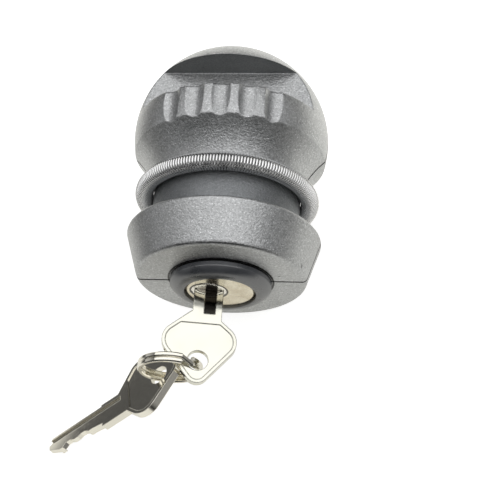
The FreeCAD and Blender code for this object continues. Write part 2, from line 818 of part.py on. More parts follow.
def make_wafer_springs():
    """The five small coils that push the wafers, each lying in its nest beside its wafer."""
    radius = size("wafer_spring_radius").value
    wire = size("wafer_spring_wire").value
    length = size("wafer_spring_length").value - wire
    helix = Part.makeHelix(length / size("wafer_spring_turns").value, length, radius)
    section = Part.Wire(Part.makePolygon([
        FreeCAD.Vector(radius + across * wire / 2, 0, along * wire / 2)
        for across, along in ((-1, -1), (1, -1), (1, 1), (-1, 1), (-1, -1))
    ]))
    coil = Part.Wire(helix).makePipeShell([section], True, True)
    coil.rotate(FreeCAD.Vector(), ALONG_LOCK, 90)
    coil.translate(FreeCAD.Vector(-length / 2, 0, 0))
    middle = (size("wafer_height") / 2 + size("wafer_clearance") + spring_outer).value
    coils = []
    for index in range(WAFER_COUNT):
        copy = coil.copy()
        copy.translate(FreeCAD.Vector(0, wafer_depth(index).value - plug_face.value, middle))
        coils.append(copy)
    springs = doc.addObject("Part::Feature", "wafer_springs")
    springs.Shape = Part.makeCompound(coils)
    return at_plug(springs)


def make_locking_cam():
    """A lobe that points at the barrel's centre, and half a turn on hooks behind the sleeve."""
    body = new_body("locking_cam")
    sketch = sketch_on(body, "XZ_Plane", "cam_lobe", plug_top)
    reach = size("cam_lobe_reach")
    lobe_x = -size("plug_x") / plug_offset * reach
    lobe_z = -size("plug_z") / plug_offset * reach
    draw_hull(sketch, [(0, 0, size("cam_hub_radius")), (lobe_x, lobe_z, size("cam_lobe_radius"))])
    half = size("tail_side") / 2 + size("tail_clearance")
    draw_box(sketch, -half, -half, half, half)
    extrude(body, "Pad", sketch, size("cam_thickness"), reverse=True)
    return at_plug(body)


def make_cam_screw():
    """The slotted screw that holds the cam on the plug's tail."""
    body = new_body("cam_screw")
    head_top = cam_top - size("cam_screw_head_height")
    profile = sketch_on(body, "XY_Plane", "cam_screw_profile")
    draw_outline(profile, [
        (0, -cam_top - size("cam_screw_length")),
        (size("cam_screw_radius"), -cam_top - size("cam_screw_length")),
        (size("cam_screw_radius"), -cam_top),
        (size("cam_screw_head_radius"), -cam_top),
        (size("cam_screw_head_radius"), -head_top),
        (0, -head_top),
    ])
    spin(body, "Revolution", profile)
    slot = sketch_on(body, "XZ_Plane", "cam_screw_slot", head_top)
    half = size("cam_screw_slot") / 2
    reach = size("cam_screw_head_radius") * 1.5
    draw_box(slot, -reach, -half, reach, half)
    extrude(body, "Pocket", slot, size("cam_screw_slot_depth"), reverse=True)
    return at_plug(body)


# Keys and ring

def bow_circles(inset):
    """The two side circles and the foot circle that round the bow, moved in by the inset."""
    middle = -size("bow_shift")
    side = size("bow_side_x")
    return [
        (middle - side, -size("bow_side_drop"), size("bow_side_radius") - inset),
        (middle, -size("bow_foot_drop"), size("bow_foot_radius") - inset),
        (middle + side, -size("bow_side_drop"), size("bow_side_radius") - inset),
    ]


def bow_outline(sketch):
    """The bow: a belt round its three circles and one more under the shank."""
    top = (-size("bow_shift"), -size("bow_top_drop"), size("bow_top_radius"))
    draw_hull(sketch, [top] + bow_circles(0))


def bow_field(sketch):
    """The sunk field inside the bow's rim, with a straight edge towards the shank."""
    middle, reach = -size("bow_shift"), size("field_corner_x")
    drop, radius = size("field_corner_drop"), size("field_corner_radius")
    corners = [(middle + reach, -drop, radius), (middle - reach, -drop, radius)]
    draw_hull(sketch, bow_circles(size("bow_rim")) + corners)


def blade_outline(sketch):
    """Shank and blade, with the cuts along the blade's front edge."""
    shank = size("shank_length")
    back, front = -size("blade_back"), size("blade_front")
    shank_back, shank_front = -size("shank_back"), size("shank_front")
    tip = shank + size("blade_length")
    corner = size("blade_tip_chamfer")
    half_flat = size("cut_flat") / 2
    root_y = -size("bow_top_drop")
    corners = [(shank_back, root_y), (shank_front, root_y), (shank_front, shank), (front, shank)]
    face = shank + size("key_clearance")
    for index in range(WAFER_COUNT):
        middle = face + wafer_depth(index)
        corners.append((cut_front(index), middle - half_flat))
        corners.append((cut_front(index), middle + half_flat))
    corners += [(front - corner * 2, tip), (back + corner, tip), (back, tip - corner)]
    corners += [(back, shank), (shank_back, shank)]
    draw_outline(sketch, corners)


def make_key(label):
    """A flat key, drawn about its plug's axis from the foot of its shank, with its tip along +Y."""
    body = new_body(label)
    bow = sketch_on(body, "XY_Plane", f"{label}_bow")
    bow_outline(bow)
    extrude(body, "Pad", bow, size("key_thickness"), symmetric=True)
    blade = sketch_on(body, "XY_Plane", f"{label}_blade")
    blade_outline(blade)
    extrude(body, "Pad", blade, size("key_thickness"), symmetric=True)
    far = size("shank_length") + size("blade_length") * 1.2
    grooves = [("upper", "wide_groove", half_key, False), ("lower", "edge_groove", -half_key, True)]
    for face, groove, height, reverse in grooves:
        left = size(f"{groove}_left")
        sketch = sketch_on(body, "XY_Plane", f"{label}_{face}_groove", height)
        draw_box(sketch, left, size("groove_start"), left + size(f"{groove}_width"), far)
        extrude(body, "Pocket", sketch, size("groove_depth"), reverse=reverse)
        field = sketch_on(body, "XY_Plane", f"{label}_{face}_field", height)
        bow_field(field)
        extrude(body, "Pocket", field, size("bow_recess"), reverse=reverse)
    hole = sketch_on(body, "XY_Plane", f"{label}_hole")
    draw_circle(hole, -size("bow_shift"), -size("key_hole_drop"), size("key_hole_radius"))
    extrude(body, "Pocket", hole, size("key_thickness") * 2, symmetric=True)
    return body


def make_working_key():
    """The key in the plug."""
    body = at_plug(make_key("working_key"))
    bind(body, "Placement.Base.y", -key_base_drop)
    return body


def ring_centre():
    """The split ring's middle, from the working key's hole that it hangs in."""
    hole_x = size("plug_x") - size("bow_shift") * cosine(size("plug_turn"))
    hole_y = -key_base_drop - size("key_hole_drop")
    hole_z = size("plug_z") + size("bow_shift") * sine(size("plug_turn"))
    return FreeCAD.Vector(
        (hole_x + size("ring_from_hole_x")).value,
        (hole_y + size("ring_from_hole_y")).value,
        (hole_z + size("ring_from_key_z")).value,
    )


def ring_section(angle, level):
    """The wire's chamfered square section at an angle round the ring."""
    half = size("ring_wire").value / 2
    cut = half - size("ring_chamfer").value
    outline = [(cut, -half), (half, -cut), (half, cut), (cut, half),
               (-cut, half), (-half, cut), (-half, -cut), (-cut, -half)]
    radius = size("ring_radius").value
    turn = FreeCAD.Rotation(ALONG_LOCK, -angle)
    points = [turn.multVec(FreeCAD.Vector(radius + across, level + along, 0)) for across, along in outline]
    return Part.makePolygon(points + points[:1])


def make_key_ring():
    """Two flat turns of wire, the second a step above the first, joined by a short ramp."""
    step = (size("ring_wire").value + size("ring_turn_gap").value) / 2
    start = size("ring_start_angle").value
    ramp = size("ring_ramp_angle").value
    around = ramp - 360
    first = Part.Face(ring_section(start, -step)).revolve(FreeCAD.Vector(), ALONG_LOCK, around)
    second = Part.Face(ring_section(start, step)).revolve(FreeCAD.Vector(), ALONG_LOCK, around)
    link = Part.makeLoft([ring_section(start - ramp, -step), ring_section(start, step)], True, True)
    ring = doc.addObject("Part::Feature", "key_ring")
    ring.Shape = first.fuse([link, second]).removeSplitter()
    ring.Placement = FreeCAD.Placement(ring_centre(), FreeCAD.Rotation())
    return ring


def spare_pose(lean):
    """Where the spare key lies when its blade dips by an angle: hung on the ring's wire by its hole."""
    heading = math.radians(size("spare_heading").value)
    twist = math.radians(size("spare_twist").value)
    dip = math.radians(lean)
    along = FreeCAD.Vector(
        math.cos(dip) * math.cos(heading), math.cos(dip) * math.sin(heading), -math.sin(dip))
    level = FreeCAD.Vector(-math.sin(heading), math.cos(heading), 0)
    rise = along.cross(level)
    across = level * math.cos(twist) + rise * math.sin(twist)
    turn = FreeCAD.Rotation(across, along, across.cross(along), "XYZ")
    angle = math.radians(size("spare_on_ring_angle").value)
    on_wire = FreeCAD.Vector(math.cos(angle), 0, math.sin(angle)) * size("ring_radius").value
    hole = FreeCAD.Vector(-size("bow_shift").value, -size("key_hole_drop").value, 0)
    return FreeCAD.Placement(ring_centre() + on_wire - turn.multVec(hole), turn)


def make_spare_key(floor):
    """The second key, which leans from the ring until its tip meets the floor."""
    body = make_key("spare_key")
    shallow, steep = 0.0, 60.0
    for _ in range(30):
        lean = (shallow + steep) / 2
        trial = body.Shape.copy()
        trial.Placement = spare_pose(lean)
        if min(vertex.Z for vertex in trial.Vertexes) > floor + size("spare_floor_gap").value:
            shallow = lean
        else:
            steep = lean
    body.Placement = spare_pose(shallow)
    return body


def lowest(shape):
    return shape.optimalBoundingBox(True, False).ZMin


front_shell = make_shell("front_shell", size("pin_slip"), 0)
rear_shell = make_shell("rear_shell", size("pin_press"), 180)
pieces = [front_shell, rear_shell, make_guide_pins(), make_garter_spring()]
pieces.append(make_wedge("upper_wedge", size("upper_wedge_foot"), 1, size("thread_clearance")))
pieces.append(make_wedge("lower_wedge", -size("lower_wedge_drop"), -1, size("washer_clearance")))
pieces += [make_thrust_washer(), make_clamp_screw(), make_lock_sleeve(), make_lock_barrel(), make_key_plug()]
pieces += [make_wafer(index) for index in range(WAFER_COUNT)]
pieces += [make_wafer_springs(), make_locking_cam(), make_cam_screw(), make_working_key(), make_key_ring()]
doc.recompute()
pieces.append(make_spare_key(lowest(rear_shell.Shape)))
doc.recompute()

# Every object is sound before any file is written
failed = [item.Name for item in doc.Objects if "Invalid" in item.State or "Error" in item.State]
if failed:
    raise RuntimeError(f"not built: {failed}")
for piece in pieces:
    if piece.Shape.isNull() or not piece.Shape.isValid():
        raise RuntimeError(f"{piece.Label} has no valid shape")

os.makedirs("parts", exist_ok=True)
for piece in pieces:
    piece.Shape.exportStep(f"parts/{piece.Label}.step")
    print(f"{piece.Label}: {len(piece.Shape.Solids)} solid, {piece.Shape.Volume:.1f} mm3")
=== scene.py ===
import math

import bpy
from mathutils import Matrix, Vector


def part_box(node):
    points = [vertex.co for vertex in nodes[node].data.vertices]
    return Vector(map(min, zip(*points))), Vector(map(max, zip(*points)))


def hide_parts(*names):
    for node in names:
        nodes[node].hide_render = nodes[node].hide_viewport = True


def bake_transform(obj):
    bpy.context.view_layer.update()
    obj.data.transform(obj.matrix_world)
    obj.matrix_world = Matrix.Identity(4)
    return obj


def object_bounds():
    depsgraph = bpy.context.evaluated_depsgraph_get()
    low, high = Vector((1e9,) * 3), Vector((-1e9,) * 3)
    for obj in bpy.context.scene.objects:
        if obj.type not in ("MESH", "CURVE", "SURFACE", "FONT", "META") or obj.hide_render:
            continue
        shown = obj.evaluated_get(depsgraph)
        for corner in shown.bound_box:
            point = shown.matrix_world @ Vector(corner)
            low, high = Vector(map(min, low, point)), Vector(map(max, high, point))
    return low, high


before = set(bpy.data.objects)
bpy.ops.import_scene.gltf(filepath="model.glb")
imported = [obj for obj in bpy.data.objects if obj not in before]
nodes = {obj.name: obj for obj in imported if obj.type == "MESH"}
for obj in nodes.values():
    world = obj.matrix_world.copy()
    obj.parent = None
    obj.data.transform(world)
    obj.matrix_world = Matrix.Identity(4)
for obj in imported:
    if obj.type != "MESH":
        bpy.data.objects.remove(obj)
cad_low, cad_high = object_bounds()

MM = 0.001
FLOOR_Z = cad_low.z
MIDDLE_Y = -20.0 * MM


# Directions, with the crown at one end of the lock's axis and the key at the other

RIGHT = (1, 0, 0)
LEFT = (-1, 0, 0)
CROWNWARD = (0, 1, 0)
KEYWARD = (0, -1, 0)
UP = (0, 0, 1)


# The plug's axis, and the way the working key's face looks

PLUG_X = -2.7 * MM
PLUG_Z = 0.5 * MM
PLUG_TURN = math.radians(10.0)
KEY_AXIS = (math.sin(PLUG_TURN), 0.0, math.cos(PLUG_TURN))
KEY_LEVEL = PLUG_X * KEY_AXIS[0] + PLUG_Z * KEY_AXIS[2]
KEY_RECESS = (KEY_LEVEL + 0.5 * MM, KEY_LEVEL + 0.6 * MM)


# Camera, at the photograph's viewing angle

PHOTO_SIDE = 500
SENSOR_MM = 36.0
ELEVATION = math.radians(60.32)
YAW = math.radians(-3.88)
ROLL = math.radians(-5.91)
DISTANCE_MM = 350.0
PIXELS_PER_MM = 3.91
BALL_PIXEL = (231.61, 143.31)
NEAREST = 0.01
FARTHEST = 20.0


def make_camera():
    """A long lens above the key end, aimed at the middle of the frame."""
    turn = (Matrix.Rotation(YAW, 3, "Z") @ Matrix.Rotation(ROLL, 3, "Y")).transposed()
    right = turn @ Vector(RIGHT)
    up = turn @ Vector((0, math.sin(ELEVATION), math.cos(ELEVATION)))
    back = turn @ Vector((0, -math.cos(ELEVATION), math.sin(ELEVATION)))
    focal_pixels = PIXELS_PER_MM * DISTANCE_MM
    across = PHOTO_SIDE / 2 - BALL_PIXEL[0]
    down = PHOTO_SIDE / 2 - BALL_PIXEL[1]
    back_aimed = (back * focal_pixels - right * across + up * down).normalized()
    right_aimed = up.cross(back_aimed).normalized()
    up_aimed = back_aimed.cross(right_aimed)
    data = bpy.data.cameras.new("camera")
    data.sensor_width = SENSOR_MM
    data.lens = focal_pixels / PHOTO_SIDE * SENSOR_MM
    data.clip_start = NEAREST
    data.clip_end = FARTHEST
    camera = bpy.data.objects.new("camera", data)
    axes = Matrix((right_aimed, up_aimed, back_aimed)).transposed()
    camera.matrix_world = Matrix.Translation(back * DISTANCE_MM * MM) @ axes.to_4x4()
    bpy.context.collection.objects.link(camera)
    bpy.context.scene.camera = camera


# Node trees, with the ranges that they share: a whole value, the same falling, and most of a noise

UNIT = (0.0, 1.0)
FALL = (1.0, 0.0)
NOISE_SPAN = (0.3, 0.7)
BEVEL_SAMPLES = 6


class Nodes:
    """A node tree, with short ways to add and join nodes."""

    def __init__(self, tree):
        self.tree = tree
        coordinates = self.add("ShaderNodeTexCoord")
        self.place = coordinates.outputs["Object"]
        self.facing = coordinates.outputs["Normal"]
        self.direction = coordinates.outputs["Generated"]

    def add(self, kind, **settings):
        node = self.tree.nodes.new(kind)
        for key, value in settings.items():
            setattr(node, key, value)
        return node

    def join(self, value, socket):
        """Set a socket to a constant, or feed it from an output."""
        if isinstance(value, bpy.types.NodeSocket):
            self.tree.links.new(value, socket)
        elif socket.type == "RGBA":
            socket.default_value = (*value, 1.0)
        else:
            socket.default_value = value

    def noise(self, scale, detail, roughness=0.5):
        node = self.add("ShaderNodeTexNoise")
        self.join(self.place, node.inputs["Vector"])
        self.join(scale, node.inputs["Scale"])
        self.join(detail, node.inputs["Detail"])
        self.join(roughness, node.inputs["Roughness"])
        return node.outputs["Fac"]

    def cells(self, scale):
        """A random value for each small grain."""
        node = self.add("ShaderNodeTexVoronoi")
        self.join(self.place, node.inputs["Vector"])
        self.join(scale, node.inputs["Scale"])
        split = self.add("ShaderNodeSeparateColor")
        self.join(node.outputs["Color"], split.inputs["Color"])
        return split.outputs["Red"]

    def spread(self, value, span, result):
        """Carry a value from one range to another, clamped."""
        node = self.add("ShaderNodeMapRange")
        self.join(value, node.inputs["Value"])
        for end, limit, target in zip(("Min", "Max"), span, result):
            self.join(limit, node.inputs["From " + end])
            self.join(target, node.inputs["To " + end])
        return node.outputs["Result"]

    def combine(self, kind, operation, first, second):
        """The value that a math node makes of two inputs."""
        node = self.add(kind, operation=operation)
        self.join(first, node.inputs[0])
        self.join(second, node.inputs[1])
        return node.outputs["Value"]

    def along(self, vector, direction):
        """How far a vector reaches in a direction."""
        return self.combine("ShaderNodeVectorMath", "DOT_PRODUCT", vector, direction)

    def distance(self, point):
        """How far the surface lies from a point."""
        return self.combine("ShaderNodeVectorMath", "DISTANCE", self.place, point)

    def plus(self, first, second):
        return self.combine("ShaderNodeMath", "ADD", first, second)

    def minus(self, first, second):
        return self.combine("ShaderNodeMath", "SUBTRACT", first, second)

    def times(self, first, second):
        return self.combine("ShaderNodeMath", "MULTIPLY", first, second)

    def larger(self, first, second):
        return self.combine("ShaderNodeMath", "MAXIMUM", first, second)

    def root(self, value):
        return self.combine("ShaderNodeMath", "SQRT", value, 0.0)

    def mix(self, share, first, second):
        """The first colour, with a share of the second."""
        node = self.add("ShaderNodeMix", data_type="RGBA")
        self.join(share, node.inputs["Factor"])
        self.join(first, node.inputs["A"])
        self.join(second, node.inputs["B"])
        return node.outputs["Result"]

    def rounded(self, radius):
        """The surface's normal with its edges rounded off."""
        node = self.add("ShaderNodeBevel", samples=BEVEL_SAMPLES)
        self.join(radius, node.inputs["Radius"])
        return node.outputs["Normal"]

    def bump(self, height, depth, strength, normal=None):
        node = self.add("ShaderNodeBump")
        self.join(depth, node.inputs["Distance"])
        self.join(strength, node.inputs["Strength"])
        self.join(height, node.inputs["Height"])
        if normal is not None:
            self.join(normal, node.inputs["Normal"])
        return node.outputs["Normal"]


class Shader(Nodes):
    """A material's node tree, with its main shader."""

    SOCKETS = {"base_color": "Base Color", "metallic": "Metallic", "roughness": "Roughness",
               "normal": "Normal", "ior": "IOR", "specular": "Specular IOR Level",
               "glow_color": "Emission Color", "glow": "Emission Strength"}

    def __init__(self, name):
        self.material = bpy.data.materials.new(name)
        self.material.use_nodes = True
        super().__init__(self.material.node_tree)
        self.main = self.tree.nodes["Principled BSDF"]

    def set(self, **values):
        for name, value in values.items():
            self.join(value, self.main.inputs[self.SOCKETS[name]])


def within(s, value, band):
    """One where a value lies in a band: its low end, its high end, and how soft the ends are."""
    low_end, high_end, soft = band
    above = s.spread(value, (low_end - soft, low_end + soft), UNIT)
    below = s.spread(value, (high_end - soft, high_end + soft), FALL)
    return s.times(above, below)


def from_axis(s, axis_x=0.0, axis_z=0.0):
    """How far the surface lies from the lock's axis, or from one beside it."""
    across = s.minus(s.along(s.place, RIGHT), axis_x)
    upward = s.minus(s.along(s.place, UP), axis_z)
    return s.root(s.plus(s.times(across, across), s.times(upward, upward)))


# Zinc casting: its blasted skin

GRAIN_SCALE = 3600.0
GRAIN_TONE = (-0.07, 0.07)
GRAIN_HEIGHT = 0.35
FINE_SCALE = 2000.0
FINE_TONE = (-0.08, 0.08)
CLOUD_SCALE = 70.0
CLOUD_TONE = (0.42, 0.48)
SPARKLE_SCALE = 4600.0
SPARKLE_SPAN = (0.92, 0.97)
SPARKLE_TONE = (0.0, 0.24)
PIT_SCALE = 520.0
PIT_SPAN = (0.20, 0.25)
PIT_SHARE = (0.7, 0.0)
PIT_DARK = (0.12, 0.12, 0.118)
ZINC_TINT = {"Red": 0.985, "Green": 1.0, "Blue": 1.01}
ZINC_ROUGH = (0.28, 0.40)
ZINC_ROUNDING = 0.6 * MM
BLAST_DEPTH = 0.16 * MM
BLAST_STRENGTH = 0.8


# Zinc casting: painted shade on the neck, the notch's ceiling and round the bezel, and dark lines along
# the foot's edge and the seam

# Painted shade on the neck, under the spring and ball
NECK_BAND = (-27.2 * MM, -13.0 * MM, 0.1 * MM)
NECK_WIDENS = (18.4 * MM, 19.4 * MM)
NECK_SHARE = 0.75
NECK_PAINTED_SHADE = (0.16, 0.17, 0.18)
NECK_ROUGH = 0.5
# Painted shade on the notch's ceiling, under the crown's overhang
CEILING_BAND = (13.2 * MM, 13.8 * MM, 0.1 * MM)
CEILING_FACES = (0.85, 0.97)
CEILING_SHARE = 0.7
CEILING_PAINTED_SHADE = (0.14, 0.145, 0.145)
FOOT_EDGE_BAND = (-38.14 * MM, -37.92 * MM, 0.04 * MM)
FOOT_EDGE_SIDES = (-9.0 * MM, 11.0 * MM, 4.0 * MM)
FOOT_PATCH_SCALE = 260.0
FOOT_PATCH_SPAN = (0.35, 0.6)
FOOT_PATCH_SHARE = (0.25, 0.9)
FOOT_BEGINS = (-38.3 * MM, -38.2 * MM)
BEZEL_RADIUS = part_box("lock_sleeve")[1].x
BEZEL_SHADE_BAND = (BEZEL_RADIUS - 0.5 * MM, BEZEL_RADIUS + 0.02 * MM, 0.05 * MM)
BEZEL_SHADE_SHARE = (0.95, 0.0)
FOOT_LINE_AND_BEZEL_SHADE = (0.03, 0.03, 0.03)
SEAM_BAND = (-0.28 * MM, 0.28 * MM, 0.06 * MM)
SEAM_SHARE = 0.85
SEAM_DARK = (0.02, 0.02, 0.02)


def blasted_colour(s, grain, fine):
    """A fine sparkling grain, faint clouds and a few dark pits."""
    clouds = s.noise(CLOUD_SCALE, detail=3.0)
    sparkle = s.spread(s.cells(SPARKLE_SCALE), SPARKLE_SPAN, SPARKLE_TONE)
    tone = s.plus(s.spread(grain, UNIT, GRAIN_TONE), s.spread(clouds, NOISE_SPAN, CLOUD_TONE))
    tone = s.plus(s.plus(tone, sparkle), s.spread(fine, NOISE_SPAN, FINE_TONE))
    colour = s.add("ShaderNodeCombineColor")
    for channel, share in ZINC_TINT.items():
        s.join(s.times(tone, share), colour.inputs[channel])
    pits = s.spread(s.noise(PIT_SCALE, detail=1.0), PIT_SPAN, PIT_SHARE)
    return s.mix(pits, colour.outputs["Color"], PIT_DARK)


def neck_shade(s):
    """One on the neck, for painted shade under the spring and ball."""
    thin = s.spread(from_axis(s), NECK_WIDENS, FALL)
    return s.times(thin, within(s, s.along(s.place, CROWNWARD), NECK_BAND))


def ceiling_shade(s):
    """One on the notch's ceiling, for painted shade under the crown's overhang."""
    faces_key = s.spread(s.along(s.facing, KEYWARD), CEILING_FACES, UNIT)
    return s.times(faces_key, within(s, s.along(s.place, CROWNWARD), CEILING_BAND))


def foot_lines(s):
    """Nearly one on the fine dark lines of the collar's foot: a patchy line along its edge, and painted
    shade round the bezel, where it meets the casting.
    """
    level = s.along(s.place, CROWNWARD)
    patchy = s.spread(s.noise(FOOT_PATCH_SCALE, detail=3.0), FOOT_PATCH_SPAN, FOOT_PATCH_SHARE)
    middle = within(s, s.along(s.place, RIGHT), FOOT_EDGE_SIDES)
    edge = s.times(within(s, level, FOOT_EDGE_BAND), s.times(patchy, middle))
    on_foot = s.spread(level, FOOT_BEGINS, BEZEL_SHADE_SHARE)
    # Painted shade round the bezel, where it meets the casting
    bezel_shade = s.times(within(s, from_axis(s), BEZEL_SHADE_BAND), on_foot)
    return s.larger(edge, bezel_shade)


def zinc_casting():
    """Blasted zinc, dull on the neck, with painted shade on the neck, the notch's ceiling and round the
    bezel, and dark along its joins and its foot's edge.
    """
    s = Shader("zinc_casting")
    grain = s.cells(GRAIN_SCALE)
    fine = s.noise(FINE_SCALE, detail=3.0, roughness=0.6)
    neck = neck_shade(s)
    seam = within(s, s.along(s.place, UP), SEAM_BAND)
    # Painted shade on the neck and the notch's ceiling, then the foot's dark lines with painted shade
    # round the bezel
    colour = s.mix(s.times(neck, NECK_SHARE), blasted_colour(s, grain, fine), NECK_PAINTED_SHADE)
    colour = s.mix(s.times(ceiling_shade(s), CEILING_SHARE), colour, CEILING_PAINTED_SHADE)
    colour = s.mix(foot_lines(s), colour, FOOT_LINE_AND_BEZEL_SHADE)
    colour = s.mix(s.times(seam, SEAM_SHARE), colour, SEAM_DARK)
    dull = s.larger(seam, s.times(neck, NECK_ROUGH))
    height = s.plus(fine, s.times(grain, GRAIN_HEIGHT))
    s.set(base_color=colour, metallic=1.0)
    s.set(roughness=s.larger(s.spread(grain, UNIT, ZINC_ROUGH), dull))
    s.set(normal=s.bump(height, BLAST_DEPTH, BLAST_STRENGTH, s.rounded(ZINC_ROUNDING)))
    return s.material


# Plated and plain metals

NICKEL = (0.84, 0.81, 0.72)
KEY_NICKEL = (0.81, 0.80, 0.71)
WIRE_STEEL = (0.84, 0.84, 0.84)
MACHINED_STEEL = (0.56, 0.56, 0.57)
BRASS = (0.78, 0.60, 0.30)
TARNISH_SCALE = 75.0
TARNISH_SPAN = (0.35, 0.7)
TARNISH_SHARE = 0.86
MARK_SCALE = 900.0
MARK_DEPTH = 0.01 * MM
MARK_STRENGTH = 0.35
RECESS_FACES = (0.5, 0.8)
RECESS_PAINTED_SHADE = (0.025, 0.023, 0.020)
EDGE_TURNS = (0.84, 0.99)
EDGE_PAINTED_SHADE = (0.10, 0.095, 0.08)
PLAIN_ROUNDING = 0.12 * MM
PLATED_ROUNDING = 0.2 * MM
KEY_ROUNDING = 0.42 * MM
KEY_EDGE_SHADE = 0.85


def bright_metal(name, colour, rough, rounding=PLAIN_ROUNDING, recess=None, edge_shade=0.0):
    """Plated or drawn metal with faint handling marks. Painted shade darkens it along its edges by
    edge_shade, and on the floor of a recess, given as the axis that the floor faces and its levels along
    that."""
    s = Shader(name)
    marks = s.noise(MARK_SCALE, detail=4.0, roughness=0.65)
    tarnish = s.spread(s.noise(TARNISH_SCALE, detail=2.0), TARNISH_SPAN, UNIT)
    tint = s.mix(tarnish, colour, tuple(channel * TARNISH_SHARE for channel in colour))
    if recess:
        axis, levels = recess
        # Painted shade on the recess floor
        deep = s.spread(s.along(s.place, axis), levels, FALL)
        flat = s.spread(s.along(s.facing, axis), RECESS_FACES, UNIT)
        tint = s.mix(s.times(deep, flat), tint, RECESS_PAINTED_SHADE)
    normal = s.rounded(rounding) if rounding else None
    if edge_shade:
        # Painted shade along the rounded edges
        true_normal = s.add("ShaderNodeNewGeometry").outputs["Normal"]
        edge = s.spread(s.along(normal, true_normal), EDGE_TURNS, (edge_shade, 0.0))
        tint = s.mix(edge, tint, EDGE_PAINTED_SHADE)
    s.set(base_color=tint, metallic=1.0, roughness=s.spread(marks, NOISE_SPAN, rough))
    s.set(normal=s.bump(marks, MARK_DEPTH, MARK_STRENGTH, normal))
    return s.material


# Lock barrel, and the plug in it

BARREL_MARK_SCALE = 500.0
BARREL_CREAM = (0.86, 0.80, 0.65)
BARREL_STAIN_SCALE = 190.0
BARREL_STAIN_SPAN = (0.38, 0.72)
BARREL_STAIN = (0.60, 0.52, 0.38)
BARREL_GAP_BAND = (4.3 * MM, 4.75 * MM, 0.1 * MM)
BARREL_GAP_SHARE = 0.9
BARREL_GAP_DIRT_AND_SHADE = (0.03, 0.027, 0.022)
BARREL_ROUGH = (0.20, 0.32)
PLUG_MARK_SCALE = 1400.0
PLUG_FACE = (0.90, 0.87, 0.80)
PLUG_STAIN_ENDS = (2.8 * MM, 3.2 * MM)
PLUG_STAIN_SPAN = (0.3, 0.6)
PLUG_STAIN_SHARE = (0.6, 1.0)
PLUG_STAIN = (0.13, 0.105, 0.08)
PLUG_RIM_BAND = (3.3 * MM, 4.2 * MM, 0.2 * MM)
PLUG_RIM_HEIGHT = 0.3 * MM
PLUG_RIM_STRENGTH = 0.8
PLUG_ROUGH = (0.12, 0.24)


def barrel_nickel():
    """The barrel's worn cream plating, with stains, and grime and painted shade in the gap round the plug.
    """
    s = Shader("barrel_nickel")
    marks = s.noise(BARREL_MARK_SCALE, detail=4.0, roughness=0.65)
    blotches = s.noise(BARREL_STAIN_SCALE, detail=3.0, roughness=0.6)
    tint = s.mix(s.spread(blotches, BARREL_STAIN_SPAN, UNIT), BARREL_CREAM, BARREL_STAIN)
    # Grime and painted shade in the gap round the plug
    gap_dirt_and_shade = s.times(within(s, from_axis(s, PLUG_X, PLUG_Z), BARREL_GAP_BAND), BARREL_GAP_SHARE)
    s.set(base_color=s.mix(gap_dirt_and_shade, tint, BARREL_GAP_DIRT_AND_SHADE), metallic=1.0)
    s.set(roughness=s.spread(marks, NOISE_SPAN, BARREL_ROUGH))
    s.set(normal=s.bump(marks, MARK_DEPTH, MARK_STRENGTH, s.rounded(PLATED_ROUNDING)))
    return s.material


def plug_nickel():
    """The plug's polished face, stained round the keyway inside a raised rim."""
    s = Shader("plug_nickel")
    around = from_axis(s, PLUG_X, PLUG_Z)
    marks = s.noise(PLUG_MARK_SCALE, detail=4.0, roughness=0.65)
    patches = s.spread(marks, PLUG_STAIN_SPAN, PLUG_STAIN_SHARE)
    stain = s.times(s.spread(around, PLUG_STAIN_ENDS, FALL), patches)
    rim = within(s, around, PLUG_RIM_BAND)
    s.set(base_color=s.mix(stain, PLUG_FACE, PLUG_STAIN), metallic=1.0)
    s.set(roughness=s.spread(marks, NOISE_SPAN, PLUG_ROUGH))
    s.set(normal=s.bump(rim, PLUG_RIM_HEIGHT, PLUG_RIM_STRENGTH, s.rounded(PLATED_ROUNDING)))
    return s.material


# Dark plastic of the bezel

PLASTIC_CLOUD_SCALE = 300.0
PLASTIC_DARK = (0.040, 0.044, 0.052)
PLASTIC_PALE = (0.056, 0.061, 0.071)
PLASTIC_FOOT_BEGINS = (-38.95 * MM, -38.75 * MM)
PLASTIC_FOOT_PAINTED_SHADE = (0.004, 0.004, 0.004)
PLASTIC_SPECULAR = (0.5, 0.02)
PLASTIC_IOR = 2.2
PLASTIC_ROUGH = (0.26, 0.34)
PLASTIC_ROUNDING = 0.4 * MM
SKIN_SCALE = 5200.0
SKIN_DEPTH = 0.02 * MM
SKIN_STRENGTH = 0.25


def dark_plastic():
    """Moulded dark blue-grey plastic with a lacquered skin, with painted shade, black and dull, next to
    the casting.
    """
    s = Shader("dark_plastic")
    clouds = s.noise(PLASTIC_CLOUD_SCALE, detail=3.0)
    skin = s.noise(SKIN_SCALE, detail=2.0)
    colour = s.mix(s.spread(clouds, NOISE_SPAN, UNIT), PLASTIC_DARK, PLASTIC_PALE)
    # Painted shade, black and dull, where the bezel meets the casting
    foot = s.spread(s.along(s.place, CROWNWARD), PLASTIC_FOOT_BEGINS, UNIT)
    s.set(base_color=s.mix(foot, colour, PLASTIC_FOOT_PAINTED_SHADE), ior=PLASTIC_IOR)
    s.set(specular=s.spread(foot, UNIT, PLASTIC_SPECULAR))
    s.set(roughness=s.spread(clouds, NOISE_SPAN, PLASTIC_ROUGH))
    s.set(normal=s.bump(skin, SKIN_DEPTH, SKIN_STRENGTH, s.rounded(PLASTIC_ROUNDING)))
    return s.material


def paint(node_names, material):
    for name in node_names:
        slots = nodes[name].data.materials
        slots.clear()
        slots.append(material)


# Garter spring

SPRING_RING = 20.65 * MM
SPRING_DROP = 16.6 * MM
SPRING_TUBE = 2.3 * MM
SPRING_WIRE = 0.28 * MM
SPRING_TURNS = 192
TURN_STEPS = 20
WIRE_SIDES = 8


